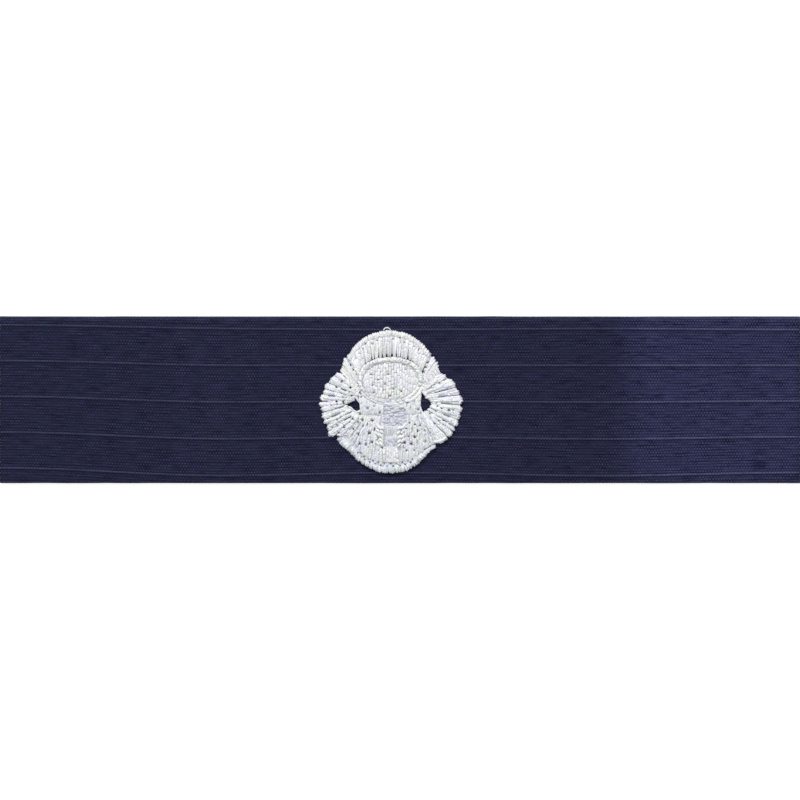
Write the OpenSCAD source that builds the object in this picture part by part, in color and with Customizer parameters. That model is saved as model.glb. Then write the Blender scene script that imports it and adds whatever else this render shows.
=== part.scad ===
// Embroidered qualification badge on a strip of ripstop cloth, in millimetres.
// The strip lies face up with its long side along X. The origin is under the middle of the
// strip, at the height of the surface that it lies on.

/* [Cloth strip] */
// Length of the strip
strip_len = 152.4; // [120:0.1:180]
// Width of the strip from fold to fold
strip_w = 31.75; // [30:0.05:38]
// Thickness of one layer of cloth
cloth_t = 1; // [1:0.1:1.4]
// Width that is turned under along each long edge
hem_w = 9.5; // [5:0.5:12]
// Air between the face and the hem turned under it
ply_gap = 0.2; // [0.1:0.05:0.4]

/* [Place of the device] */
// Middle of the device along the strip
device_x = -1.7; // [-20:0.1:20]
// Middle of the device across the strip
device_y = -0.45; // [-1:0.05:1]
// Clear gap under the stitching
stitch_lift = 0.05; // [0.02:0.01:0.1]

/* [Height of the stitching] */
// Height of a field of stitches at its edge
edge_h = 0.45; // [0.3:0.05:0.6]
// Height added in the middle of a flat field
flat_crown_h = 0.35; // [0.2:0.05:0.5]
// Height added in the middle of a padded band
band_crown_h = 0.65; // [0.4:0.05:0.8]
// Height added in the middle of a hose
hose_crown_h = 0.75; // [0.5:0.05:0.9]
// Share of the added height that is lost between two ribs
rib_depth = 0.55; // [0.2:0.05:0.8]

/* [Hood] */
// Radius of the outer edge of the hood
hood_r = 9.57; // [9.4:0.01:9.7]
// Bundles of stitches round the hood
hood_ribs = 14; // [8:1:20]

/* [Mask] */
// Width of the mask over its rim
mask_w = 12.2; // [12:0.05:12.3]
// Height of the mask over its rim
mask_h = 8.9; // [8.7:0.05:9]
// Width of the rim at the top and bottom
mask_rim_w = 0.98; // [0.8:0.02:1.1]
// Squareness of the outline, where 2 is an ellipse
mask_square = 2.3; // [2:0.05:2.8]
// Clear gap between the mask and its neighbours
field_gap = 0.1; // [0.06:0.01:0.14]

/* [Hoses] */
// Depth of the notches between the lobes of a hose
lobe_notch = 0.45; // [0.2:0.05:0.6]

/* [Hidden] */

cloth_colour = [0.15, 0.16, 0.25];
thread_colour = [0.88, 0.89, 0.91];
shaded_thread_colour = [0.76, 0.76, 0.83];

strip_h = 2 * cloth_t + ply_gap;
stitch_z = strip_h + stitch_lift;
fold_fn = 48;
cut_margin = 1;

// Facets across a field, and along one rib of it
across_steps = 5;
rib_steps = 5;
smooth_steps = 28;
// Powers that shape a field: below 1 the top is flatter and the edge rounder
across_power = 0.6;
rib_power = 0.7;

// Middles of the hood's outer circle and of the mask, from the middle of the device
hood_centre = [-0.3, 4.2];
mask_centre = [-0.1, 4];
mask_half = [mask_w, mask_h] / 2;
// Where the hood's outer edge starts and ends, in degrees from +X
hood_outer_angles = [33.7, 150.6];
// Where the hood's inner edge starts and ends, as angles of the mask's outline
hood_inner_angles = [20, 170];

// Each row of the tables below is one line of stitches, from its inner end to its outer end
IN_X = 0;
IN_Y = 1;
OUT_X = 2;
OUT_Y = 3;

hood_side_left_rows = [
    [-6.50, 4.65, -8.65, 8.50],
    [-6.55, 3.70, -9.30, 7.40],
    [-6.90, 2.85, -9.65, 6.05],
];
hood_side_right_rows = [
    [6.15, 5.30, 7.65, 9.15],
    [6.25, 4.20, 8.75, 7.50],
    [6.25, 3.05, 9.10, 5.95],
];
// A hose has one lobe between each row and the next
hose_left_rows = [
    [-6.75, 2.40, -9.60, 5.75],
    [-6.70, 2.00, -11.15, 5.25],
    [-6.80, 1.40, -12.35, 3.70],
    [-7.15, 0.70, -13.20, 1.80],
    [-7.90, 0.05, -13.60, -0.40],
    [-8.35, -0.60, -13.50, -1.80],
    [-8.00, -1.30, -13.15, -3.35],
    [-7.40, -1.80, -12.55, -4.45],
    [-6.85, -2.15, -12.10, -5.70],
    [-6.40, -2.40, -10.75, -6.45],
    [-6.20, -2.60, -8.75, -6.45],
];
hose_right_rows = [
    [6.25, 2.75, 9.15, 5.65],
    [6.65, 2.30, 11.15, 4.65],
    [7.15, 1.45, 12.65, 2.85],
    [7.40, 0.65, 13.40, 0.95],
    [7.65, -0.10, 13.50, -0.95],
    [7.55, -0.85, 13.20, -2.45],
    [7.15, -1.45, 12.65, -4.20],
    [6.75, -1.80, 12.00, -5.80],
    [6.35, -2.10, 10.95, -6.85],
    [6.00, -2.30, 8.65, -7.80],
];
cheek_left_rows = [
    [-6.15, 1.65, -5.65, -2.20],
    [-5.25, 0.95, -4.95, -2.30],
    [-4.00, 0.10, -3.70, -2.30],
    [-2.65, -0.40, -2.55, -2.35],
    [-1.50, -0.60, -1.50, -2.40],
];
cheek_right_rows = [
    [2.75, -0.35, 2.75, -2.40],
    [3.60, 0.00, 3.60, -2.30],
    [4.55, 0.60, 4.55, -2.20],
    [5.40, 1.45, 5.45, -2.10],
];
mouthpiece_rows = [
    [-1.35, -0.70, 2.60, -0.70],
    [-1.35, -2.45, 2.60, -2.45],
    [-1.35, -4.35, 2.40, -4.35],
];
mouth_stem_rows = [
    [-1.35, -4.50, 2.30, -4.50],
    [-1.35, -8.35, 1.75, -8.35],
    [-1.35, -11.40, 1.35, -11.40],
];
jaw_left_rows = [
    [-6.00, -2.70, -8.50, -6.50],
    [-5.15, -2.55, -7.35, -7.30],
    [-4.20, -2.50, -5.70, -9.50],
    [-3.05, -2.50, -3.70, -10.90],
    [-1.50, -2.55, -1.60, -11.40],
];
jaw_right_rows = [
    [2.75, -2.55, 1.60, -11.40],
    [3.50, -2.50, 3.40, -10.90],
    [4.40, -2.45, 4.85, -10.00],
    [5.15, -2.40, 6.20, -8.95],
    [5.80, -2.45, 8.20, -7.85],
];
chin_rim_rows = [
    [-8.65, -6.65, -10.55, -6.80],
    [-7.80, -7.15, -9.50, -8.20],
    [-7.15, -7.90, -8.35, -9.15],
    [-6.35, -8.95, -7.50, -10.10],
    [-5.35, -10.20, -6.30, -11.30],
    [-3.90, -11.05, -4.45, -12.45],
    [-2.10, -11.50, -2.30, -13.30],
    [0.00, -11.70, 0.00, -13.50],
    [2.10, -11.50, 2.30, -13.15],
    [3.80, -10.95, 4.40, -12.25],
    [5.15, -10.00, 6.10, -10.75],
    [6.45, -9.15, 7.30, -9.30],
    [8.35, -8.10, 8.65, -8.25],
];

// Ribs of the fields that show bundles of stitches
jaw_ribs = 7;
cheek_ribs = 4;
stem_ribs = 6;

function sum(list, i = 0) = i < len(list) ? list[i] + sum(list, i + 1) : 0;

function mix(a, b, share) = a * (1 - share) + b * share;

function reversed(list) = [for (i = [len(list) - 1:-1:0]) list[i]];

function power_sin(angle, power) = pow(abs(sin(angle)), power);

function signed_power(value, power) = sign(value) * pow(abs(value), power);

// Smooth curve through the rows of a table, where u runs from 0 to the last row
function row_at(rows, u) =
    let (
        last = len(rows) - 1,
        i = min(floor(u), last - 1),
        f = u - i,
        before = i > 0 ? rows[i - 1] : 2 * rows[i] - rows[i + 1],
        here = rows[i],
        next = rows[i + 1],
        after = i + 2 <= last ? rows[i + 2] : 2 * next - here
    )
    here + f / 2 * (next - before
        + f * (2 * before - 5 * here + 4 * next - after
        + f * (3 * (here - next) + after - before)));

// Point of the mask's outline, which is a squared ellipse with the given half width and height
function mask_point(half, angle) = mask_centre + [
    half.x * signed_power(cos(angle), 2 / mask_square),
    half.y * signed_power(sin(angle), 2 / mask_square),
];

// One line of stitches as a row of points across a field, with ribs from 0 to 1 between two ribs
function stitch_line(row, rib, crown_h, notch) =
    let (
        start = [row[IN_X], row[IN_Y]],
        full = [row[OUT_X], row[OUT_Y]],
        end = full - (full - start) / norm(full - start) * notch * (1 - rib)
    )
    [for (j = [0:across_steps])
        let (
            share = j / across_steps,
            plan = mix(start, end, share),
            crown = crown_h * power_sin(180 * share, across_power) * (1 - rib_depth * (1 - rib))
        )
        [plan.x, plan.y, stitch_z + edge_h + crown]];

// Twice the area of a field's plan, negative where its lines turn to the right
function turn(grid) =
    let (
        loop = concat([for (line = grid) line[0]], reversed([for (line = grid) line[across_steps]]))
    )
    sum([for (i = [0:len(loop) - 1])
        let (a = loop[i], b = loop[(i + 1) % len(loop)]) a.x * b.y - a.y * b.x]);

// Closed solid under a grid of points, standing on a flat underside
module solid_under(grid) {
    last = len(grid) - 1;
    width = across_steps + 1;
    base = len(grid) * width;
    points = concat(
        [for (line = grid) each line],
        [for (line = grid) each [
            [line[0].x, line[0].y, stitch_z],
            [line[across_steps].x, line[across_steps].y, stitch_z],
        ]]
    );
    top = [for (i = [0:last - 1], j = [0:across_steps - 1])
        let (a = i * width + j, b = a + width)
        each [[a, a + 1, b + 1], [a, b + 1, b]]];
    sides = [for (i = [0:last - 1])
        let (a = i * width, b = a + width, low = base + 2 * i)
        each [
            [a, b, low + 2, low],
            [b + across_steps, a + across_steps, low + 1, low + 3],
            [low, low + 2, low + 3, low + 1],
        ]];
    ends = [
        concat(reversed([for (j = [0:across_steps]) j]), [base, base + 1]),
        concat([for (j = [0:across_steps]) last * width + j], [base + 2 * last + 1, base + 2 * last]),
    ];
    faces = concat(top, sides, ends);
    polyhedron(points, turn(grid) > 0 ? faces : [for (face = faces) reversed(face)]);
}

// Field of stitches that follows a table, raised in the given number of ribs
module stitch_field(rows, crown_h, ribs, steps, notch = 0) {
    count = ribs * steps;
    solid_under([for (k = [0:count])
        let (rib = power_sin(180 * k / steps, rib_power))
        stitch_line(row_at(rows, k * (len(rows) - 1) / count), rib, crown_h, notch)]);
}

module on_strip() {
    translate([device_x, device_y, 0]) children();
}

module flat_bar(w, h) {
    square([w - h, h], center = true);
    for (side = [-1, 1]) translate([side * (w - h) / 2, 0]) circle(d = h, $fn = fold_fn);
}

module strip_section() {
    difference() {
        flat_bar(strip_w, strip_h);
        flat_bar(strip_w - 2 * cloth_t, ply_gap);
        translate([0, -cut_margin - ply_gap / 2]) {
            square([strip_w - 2 * hem_w, 2 * cut_margin + ply_gap], center = true);
        }
    }
}

module cloth_strip() {
    color(cloth_colour)
        rotate([90, 0, 90])
            linear_extrude(strip_len, center = true)
                translate([0, strip_h / 2]) strip_section();
}

module hood_band() {
    inner_half = mask_half + field_gap * [1, 1];
    count = hood_ribs * rib_steps;
    color(thread_colour) on_strip() solid_under([for (k = [0:count])
        let (
            share = k / count,
            outer_angle = mix(hood_outer_angles[0], hood_outer_angles[1], share),
            start = mask_point(inner_half, mix(hood_inner_angles[0], hood_inner_angles[1], share)),
            end = hood_centre + hood_r * [cos(outer_angle), sin(outer_angle)],
            rib = power_sin(180 * k / rib_steps, rib_power)
        )
        stitch_line([start.x, start.y, end.x, end.y], rib, band_crown_h, 0)]);
}

module hood_side_left() {
    color(thread_colour) on_strip() stitch_field(hood_side_left_rows, flat_crown_h, 2, rib_steps);
}

module hood_side_right() {
    color(thread_colour) on_strip() stitch_field(hood_side_right_rows, flat_crown_h, 2, rib_steps);
}

// The rim is one band of stitches whose two ends meet under the mask, a gap apart
module mask_rim() {
    inner_half = mask_half - mask_rim_w * [1, 1];
    start_angle = -90 + asin(pow(field_gap / 2 / mask_half.x, mask_square / 2));
    count = 2 * smooth_steps;
    color(thread_colour) on_strip() solid_under([for (k = [0:count])
        let (
            angle = mix(start_angle, 180 - start_angle, k / count),
            start = mask_point(inner_half, angle),
            end = mask_point(mask_half, angle)
        )
        stitch_line([start.x, start.y, end.x, end.y], 1, band_crown_h, 0)]);
}

// The stitches of the lens run from its lower edge to its upper edge
module mask_lens() {
    half = mask_half - (mask_rim_w + field_gap) * [1, 1];
    edge_angle = 12;
    color(thread_colour) on_strip() solid_under([for (k = [0:smooth_steps])
        let (
            angle = mix(180 - edge_angle, edge_angle, k / smooth_steps),
            start = mask_point(half, -angle),
            end = mask_point(half, angle)
        )
        stitch_line([start.x, start.y, end.x, end.y], 1, flat_crown_h, 0)]);
}

module hose_left() {
    lobes = len(hose_left_rows) - 1;
    color(thread_colour) on_strip()
        stitch_field(hose_left_rows, hose_crown_h, lobes, rib_steps, lobe_notch);
}

module hose_right() {
    lobes = len(hose_right_rows) - 1;
    color(thread_colour) on_strip()
        stitch_field(hose_right_rows, hose_crown_h, lobes, rib_steps, lobe_notch);
}

module cheek_left() {
    color(thread_colour) on_strip()
        stitch_field(cheek_left_rows, flat_crown_h, cheek_ribs, rib_steps);
}

module cheek_right() {
    color(thread_colour) on_strip()
        stitch_field(cheek_right_rows, flat_crown_h, cheek_ribs, rib_steps);
}

module mouthpiece() {
    color(shaded_thread_colour) on_strip()
        stitch_field(mouthpiece_rows, band_crown_h, cheek_ribs, rib_steps);
}

module mouth_stem() {
    color(shaded_thread_colour) on_strip()
        stitch_field(mouth_stem_rows, flat_crown_h, stem_ribs, rib_steps);
}

module jaw_left() {
    color(thread_colour) on_strip() stitch_field(jaw_left_rows, flat_crown_h, jaw_ribs, rib_steps);
}

module jaw_right() {
    color(thread_colour) on_strip() stitch_field(jaw_right_rows, flat_crown_h, jaw_ribs, rib_steps);
}

module chin_rim() {
    color(thread_colour) on_strip() stitch_field(chin_rim_rows, band_crown_h, 1, 2 * smooth_steps);
}

cloth_strip();
hood_band();
hood_side_left();
hood_side_right();
mask_rim();
mask_lens();
hose_left();
hose_right();
cheek_left();
cheek_right();
mouthpiece();
mouth_stem();
jaw_left();
jaw_right();
chin_rim();
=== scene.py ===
"""Looks of the embroidered badge: a ripstop strip and its stitched device, thread by thread.

Lengths are in millimetres until a mesh is made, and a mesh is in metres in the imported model's frame.
"""
import math

import bmesh
import bpy
import numpy as np
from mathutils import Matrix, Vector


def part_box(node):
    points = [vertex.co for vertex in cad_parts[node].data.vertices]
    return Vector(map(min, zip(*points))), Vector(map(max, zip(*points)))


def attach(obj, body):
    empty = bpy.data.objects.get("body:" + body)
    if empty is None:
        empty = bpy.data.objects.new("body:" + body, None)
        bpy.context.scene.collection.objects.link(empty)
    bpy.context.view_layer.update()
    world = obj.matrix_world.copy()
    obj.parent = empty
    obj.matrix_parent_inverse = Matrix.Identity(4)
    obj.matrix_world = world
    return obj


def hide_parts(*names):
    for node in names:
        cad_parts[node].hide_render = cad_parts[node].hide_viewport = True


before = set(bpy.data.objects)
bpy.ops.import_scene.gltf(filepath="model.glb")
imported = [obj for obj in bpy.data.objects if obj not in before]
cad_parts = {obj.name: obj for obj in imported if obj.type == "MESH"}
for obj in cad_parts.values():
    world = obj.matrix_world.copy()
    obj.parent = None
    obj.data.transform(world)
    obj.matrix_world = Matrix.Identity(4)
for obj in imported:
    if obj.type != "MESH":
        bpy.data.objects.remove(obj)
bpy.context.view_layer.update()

MM = 0.001

# The strip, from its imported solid
STRIP_HIGH = np.array(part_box("cloth_strip")[1]) / MM
HALF_LENGTH = STRIP_HIGH[0]
HALF_WIDTH = STRIP_HIGH[1]
FACE_Z = STRIP_HIGH[2]
FOLD_R = FACE_Z / 2
HEM_W = 9.5
CLOTH_T = 0.8

# The device: its tables are measured from its middle, and its place comes from the mask's rim
MASK_CENTRE = np.array([-0.1, 4.0])
MASK_HALF = np.array([6.1, 4.45])
MASK_RIM_W = 0.98
MASK_SQUARE = 2.3
# Ends of a stitch across the rim: in from its outer edge, and degrees ahead
RIM_STITCH = ((0.66, 4.0), (0.02, 0.0))
RIM_LOW, RIM_HIGH = (np.array(corner)[:2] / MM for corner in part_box("mask_rim"))
DEVICE = (RIM_LOW + RIM_HIGH) / 2 - MASK_CENTRE

# The hood
HOOD_CENTRE = np.array([-0.3, 4.2])
HOOD_R = 9.47
HOOD_OUTER_ANGLES = (33.7, 150.6)
HOOD_INNER_ANGLES = (20.0, 170.0)
HOOD_BORDER_W = 1.15
HOOD_FLATTENED = 0.35
HOOD_THREADS = 44
HOOD_BARE = 0.62
HOOD_BARE_AT = 0.52
FIELD_GAP = 0.1

# Each row is one line of stitches: inner end x and y, outer end x and y
HOOD_SIDE_LEFT = (
    (-6.40, 4.75, -8.60, 8.65),
    (-6.50, 3.70, -9.15, 7.35),
    (-6.75, 2.85, -9.55, 5.95),
)
HOOD_SIDE_RIGHT = (
    (6.15, 5.30, 7.70, 9.05),
    (6.25, 4.20, 8.80, 7.55),
    (6.25, 3.05, 9.10, 5.95),
)
HOSE_LEFT = (
    (-6.75, 2.40, -9.60, 5.75),
    (-6.70, 2.00, -11.15, 5.25),
    (-6.80, 1.40, -12.35, 3.70),
    (-7.15, 0.70, -13.20, 1.80),
    (-8.00, 0.10, -13.60, -0.40),
    (-8.75, -0.60, -13.50, -1.80),
    (-8.20, -1.25, -13.15, -3.35),
    (-7.40, -1.80, -12.55, -4.45),
    (-6.85, -2.15, -12.10, -5.70),
    (-6.40, -2.40, -10.75, -6.45),
    (-6.20, -2.60, -8.75, -6.45),
)
HOSE_RIGHT = (
    (6.25, 2.75, 9.15, 5.65),
    (6.65, 2.30, 11.15, 4.65),
    (7.15, 1.45, 12.65, 2.85),
    (7.25, 0.60, 13.40, 0.95),
    (7.65, -0.10, 13.50, -0.95),
    (7.65, -0.85, 13.20, -2.45),
    (7.25, -1.50, 12.65, -4.20),
    (6.80, -1.92, 12.00, -5.80),
    (6.35, -2.10, 10.95, -6.85),
    (6.00, -2.30, 8.65, -7.80),
)
# Each lobe of a hose: where it ends, in rows of its table, and how far it reaches inward and outward of them
LOBES_LEFT = (
    (1.0, 0.45, -0.20), (2.0, 0.50, -0.45), (2.6, 0.50, -0.22), (3.15, 0.30, -0.36), (3.75, 0.15, 0.0),
    (4.35, 0.30, 0.0), (5.2, -0.10, -0.38), (6.2, 0.10, -0.25), (7.0, 0.35, -0.22), (8.0, 0.20, -0.35),
    (9.0, 0.15, 0.25), (10.2, 0.15, 0.05),
)
LOBES_RIGHT = (
    (0.95, 0.35, -0.10), (2.0, 0.45, -0.08), (2.75, 0.40, -0.28), (3.8, 0.10, -0.02), (4.7, -0.10, -0.05),
    (5.6, -0.05, -0.08), (6.4, 0.0, -0.02), (7.0, 0.05, -0.28), (8.0, 0.05, -0.18), (9.25, 0.30, 0.15),
)
CHEEK_LEFT = (
    (-6.15, 1.65, -5.65, -2.20),
    (-5.25, 0.95, -4.95, -2.30),
    (-4.00, 0.10, -3.70, -2.30),
    (-2.65, -0.40, -2.55, -2.35),
    (-1.50, -0.60, -1.50, -2.40),
)
CHEEK_RIGHT = (
    (2.75, -0.35, 2.75, -2.40),
    (3.60, 0.00, 3.60, -2.30),
    (4.55, 0.60, 4.55, -2.20),
    (5.50, 1.65, 5.50, -2.10),
)
# The edge of each hose's opening, on the mask's side
OPENING_LEFT = (
    (-6.80, 1.25), (-6.34, 0.52), (-5.85, -0.20), (-5.52, -0.95), (-5.80, -1.62),
    (-6.50, -1.88), (-7.15, -1.62), (-7.60, -1.18), (-8.02, -0.88),
)
OPENING_RIGHT = (
    (5.70, 2.30), (5.50, 0.90), (5.48, -0.57), (5.64, -1.48), (6.00, -2.30),
    (6.60, -2.35), (7.10, -2.05),
)
# Single stitches over the seam between mask and hose, above the openings
CROSSINGS_LEFT = (
    (-6.55, 1.05, -6.05, 2.35),
    (-6.85, 1.55, -6.30, 2.90),
    (-6.95, 2.20, -6.45, 3.45),
    (-7.35, 1.80, -6.75, 2.90),
)
CROSSINGS_RIGHT = (
    (5.65, 2.95, 6.55, 2.05),
    (5.95, 2.30, 6.80, 1.10),
    (5.95, 3.30, 6.70, 2.60),
)
MOUTHPIECE = (
    (-1.35, -0.58, 2.60, -0.58),
    (-1.35, -2.45, 2.60, -2.45),
    (-1.35, -4.35, 2.40, -4.35),
)
MOUTH_STEM = (
    (-1.35, -4.50, 2.30, -4.50),
    (-1.35, -8.35, 1.75, -8.35),
    (-1.35, -11.40, 1.35, -11.40),
)
JAW_LEFT = (
    (-6.00, -2.70, -8.50, -6.50),
    (-5.15, -2.55, -7.35, -7.30),
    (-4.20, -2.50, -5.70, -9.50),
    (-3.05, -2.50, -3.70, -10.90),
    (-1.50, -2.55, -1.60, -11.40),
)
JAW_RIGHT = (
    (2.75, -2.55, 1.60, -11.40),
    (3.50, -2.50, 3.40, -10.90),
    (4.40, -2.45, 4.85, -10.00),
    (5.15, -2.40, 6.20, -8.95),
    (5.80, -2.45, 8.20, -7.85),
)
CHIN_RIM = (
    (-8.65, -6.65, -10.55, -6.80),
    (-7.80, -7.15, -9.50, -8.20),
    (-7.15, -7.90, -8.30, -9.08),
    (-6.35, -8.95, -7.42, -10.02),
    (-5.35, -10.20, -6.22, -11.20),
    (-3.90, -11.05, -4.42, -12.34),
    (-2.10, -11.50, -2.30, -13.30),
    (0.00, -11.70, 0.00, -13.50),
    (2.10, -11.50, 2.33, -13.20),
    (3.80, -10.95, 4.43, -12.30),
    (5.15, -10.00, 6.10, -10.75),
    (6.45, -9.15, 7.30, -9.30),
    (8.35, -8.10, 8.65, -8.25),
)

# Needle holes and slits between the threads: half width, and length along the threads
HOLE_SEED = 41
HOLE_HALF_W = (0.05, 0.2)
SLIT_HALF_W = 0.05
DOT_RUN = 0.15
SLIT_RUN = (0.5, 0.85)
GOLDEN = 0.618
# Share of each field's holes that are slits
HOSE_SLITS = 0.25
BODY_SLITS = 0.25
# Holes along each groove of a hose, from its inner end
GROOVE_SHARES = (0.16, 0.38, 0.6, 0.82)
GROOVE_STRAY = 0.09
# Holes along the seam between the hood and the side's first line
SEAM_SHARES = (0.12, 0.36, 0.6, 0.84)
SEAM_ROW = 0.05
HOOD_HOLES = 15
HOOD_HOLE_IN = (1.2, 2.6)
JAW_HOLES = 20
CHEEK_HOLES = 4
MASK_HOLES = 16
MASK_HOLE_REACH = 0.75
# Needle holes along the chin rim
CHIN_HOLES = 22
CHIN_HOLE_W = 0.14
CHIN_HOLE_ENDS = (0.28, 0.76)
CHIN_HOLE_LIFT = (0.05, 0.28)
# A hole's sloping edge, its size in a field, its bottom and the painted shade that darkens the threads in it. A
# hole longer than SLIT_LENGTH is a slit, which sinks less and parts the threads
HOLE_EDGE = 0.15
HOLE_SCALE = 0.95
HOLE_FLOOR = 0.12
HOLE_PAINTED_SHADE = 0.62
SLIT_LENGTH = 0.45
SLIT_DEPTH = 0.4
SPREAD = 0.25

# Thread as it lies: its width and height, its spacing, and the run in which a stitch leaves the cloth
THREAD_W = 0.55
THREAD_H = 0.38
PITCH = 0.53
PAD_DROP = 0.17
TWIST = 0.8
LEG = 0.26
SUNK = -0.15
SIDES = 8
RING_STEP = 0.19
PAD_CELL = 0.15
HOSE_STITCH = 1.8
EDGE_IN = 0.34
PAD_FOOT = -0.2
OVERLAP = 0.2
TINT_LIMIT = 1.08
LENS_STITCH = 1.4
LENS_LEAST = 0.4

# Ladders of short stitches beside the stem: edge, reach from it, and the places down it
LADDERS = (
    (2.5, -1.25, (-4.75, -5.65, -6.5, -7.3, -8.1)),
    (-2.9, 1.3, (-4.55, -5.4, -6.2, -7.0, -7.8)),
)

# Loose thread loop: its middle, half width and height, thickness, and the rise of its ends and of its top
LOOP_MIDDLE = np.array([-0.78, 13.62])
LOOP_HALF_W = 0.62
LOOP_H = 0.54
LOOP_THICK = 0.24
LOOP_FOOT = 0.2
LOOP_RISE = 0.3

# Stitches under the cloth: width, thickness, and how far they sag below it
BOBBIN_W = 0.34
BOBBIN_T = 0.2
BOBBIN_SAG = 0.16
BOBBIN_CLEAR = 0.3
BOBBIN_LEAST = 0.8

# Tints: red, green, blue, and how plainly the thread's twist shows
WHITE = np.array([0.87, 0.87, 0.87, 1.0])
SOFT = np.array([0.855, 0.855, 0.855, 0.6])
# Painted highlight: a whiter tint for stitches at edges and crowns that catch the light
PAINTED_HIGHLIGHT_WHITE = np.array([0.95, 0.95, 0.95, 1.0])
ROPE_LEFT = np.array([0.87, 0.88, 0.90, 1.8])
ROPE_RIGHT = np.array([0.89, 0.90, 0.92, 2.2])
CHIN_INNER = np.array([0.63, 0.65, 0.68, 0.8])
CHIN_OUTER = np.array([0.77, 0.79, 0.83, 1.2])
JAW_WHITE = np.array([0.85, 0.86, 0.86, 1.2])
PLAIN = np.array([0.76, 0.78, 0.78, 0.6])
LAVENDER = np.array([0.585, 0.59, 0.655, 0.8])
MOUTH = np.array([0.68, 0.69, 0.755, 0.8])
MOUTH_GROOVE = np.array([0.68, 0.69, 0.755, 0.0])
STREAKED = np.array([0.86, 0.86, 0.86, 0.6])
RIM_GREY = np.array([0.71, 0.72, 0.73, 0.8])
GREYED = np.array([0.62, 0.63, 0.65, 0.4])
WARM = np.array([0.83, 0.815, 0.81, 0.4])
# Painted shade: the padding is the same white thread, darkened to stand for the shade in the gaps between the
# threads over it
PAD_PAINTED_SHADE = np.array([0.72, 0.75, 0.79, 0.0])

# Rows of stitches along the mask's rim: in from its outer edge, tint, stitch, first and last degree, lift
RIM_ROWS = (
    (0.14, JAW_WHITE, 1.3, -90, 270, 0.0),
    (0.56, RIM_GREY, 1.1, -90, 270, 0.0),
    (0.90, RIM_GREY, 1.1, -90, 270, 0.0),
    # These two rows are raised and take the painted highlight tint
    (0.10, PAINTED_HIGHLIGHT_WHITE, 4.4, -66, -10, 0.14),
    (0.72, PAINTED_HIGHLIGHT_WHITE, 3.6, -62, -14, 0.1),
)

# Ripstop threads: height of the topmost one, spacing down to the next, rise towards the left end, slow wave
RIPSTOP_TOP = 13.45
RIPSTOP_STEP = 6.9
RIPSTOP_LIFT = 0.9
RIPSTOP_LIFT_FROM = -30.0
RIPSTOP_WAVE = 0.1
RIPSTOP_WAVE_AT = 38.0
RIPSTOP_WAVE_LONG = 75.0
PICKS = 13
ROWS_PER_PICK = 4
PICK_RISE = 0.045
RIPSTOP_RISE = 0.05
STATIONS = 110
CHECK_PITCH = 0.54


# Small helpers

def mix(a, b, share):
    return a * (1 - share) + b * share


def smooth(x):
    x = np.clip(x, 0, 1)
    return x * x * (3 - 2 * x)


def unit(vectors):
    return vectors / (np.linalg.norm(vectors, axis=-1, keepdims=True) + 1e-9)


def even(count):
    """Middles of count equal steps from 0 to 1."""
    return (np.arange(count) + 0.5) / count


def relief(share, base, crown):
    """Height across a field, which is rounder at its edges than in its middle."""
    return base + crown * np.sin(np.pi * np.clip(share, 0, 1)) ** 0.6


def rows_at(rows, u):
    """Smooth curve through the rows of a table, where u runs from 0 to the last row."""
    rows = np.asarray(rows, float)
    u = np.atleast_1d(np.asarray(u, float))
    padded = np.vstack((2 * rows[0] - rows[1], rows, 2 * rows[-1] - rows[-2]))
    i = np.clip(np.floor(u).astype(int), 0, len(rows) - 2)
    f = (u - i)[:, None]
    before, here, after, beyond = (padded[i + k] for k in range(4))
    return here + f / 2 * (after - before + f * (
        2 * before - 5 * here + 4 * after - beyond + f * (3 * (here - after) + beyond - before)))


def field_lines(rows, share):
    return rows_at(rows, np.asarray(share) * (len(rows) - 1))


def ring_shares(rings):
    """Steps from 0 to 1 which are closer together at both ends."""
    t = np.linspace(0, 1, rings)
    return mix(t, 0.5 - 0.5 * np.cos(np.pi * t), 0.5)


def along(lines, start=0.0, end=1.0):
    """Points on each line from share start to share end, and the share at each of them."""
    start, end = (np.broadcast_to(v, len(lines))[:, None] for v in (start, end))
    longest = (lengths(lines) * (end - start)[:, 0]).max()
    share = mix(start, end, ring_shares(6 + int(longest / RING_STEP)))
    return lines[:, None, :2] + (lines[:, None, 2:] - lines[:, None, :2]) * share[..., None], share


def lengths(lines):
    return np.linalg.norm(lines[:, 2:] - lines[:, :2], axis=1)


def mask_points(half, degrees):
    """Points of the mask's outline, a squared ellipse with the given half width and height."""
    a = np.radians(degrees)
    c, s = np.cos(a), np.sin(a)
    power = 2 / MASK_SQUARE
    return MASK_CENTRE + np.stack((
        half[0] * np.sign(c) * np.abs(c) ** power,
        half[1] * np.sign(s) * np.abs(s) ** power), axis=-1)


def holes_on(rng, lines, share, slits):
    """One hole on each line, drawn out along it, and slits is the share of them that are slits."""
    count = len(lines)
    run = unit(lines[:, 2:] - lines[:, :2])
    slit = rng.random(count) < slits
    long = np.where(slit, rng.uniform(*SLIT_RUN, count), DOT_RUN)[:, None]
    half = np.where(slit, SLIT_HALF_W, rng.uniform(*HOLE_HALF_W, count))[:, None]
    middle = mix(lines[:, :2], lines[:, 2:], np.reshape(share, (-1, 1)))
    return np.hstack((middle - run * long / 2, middle + run * long / 2, half))


def spread(count):
    """Golden steps from 0.1 to 0.9, which keep neighbouring holes apart."""
    return 0.1 + 0.8 * (np.arange(count) * GOLDEN % 1)


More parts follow.
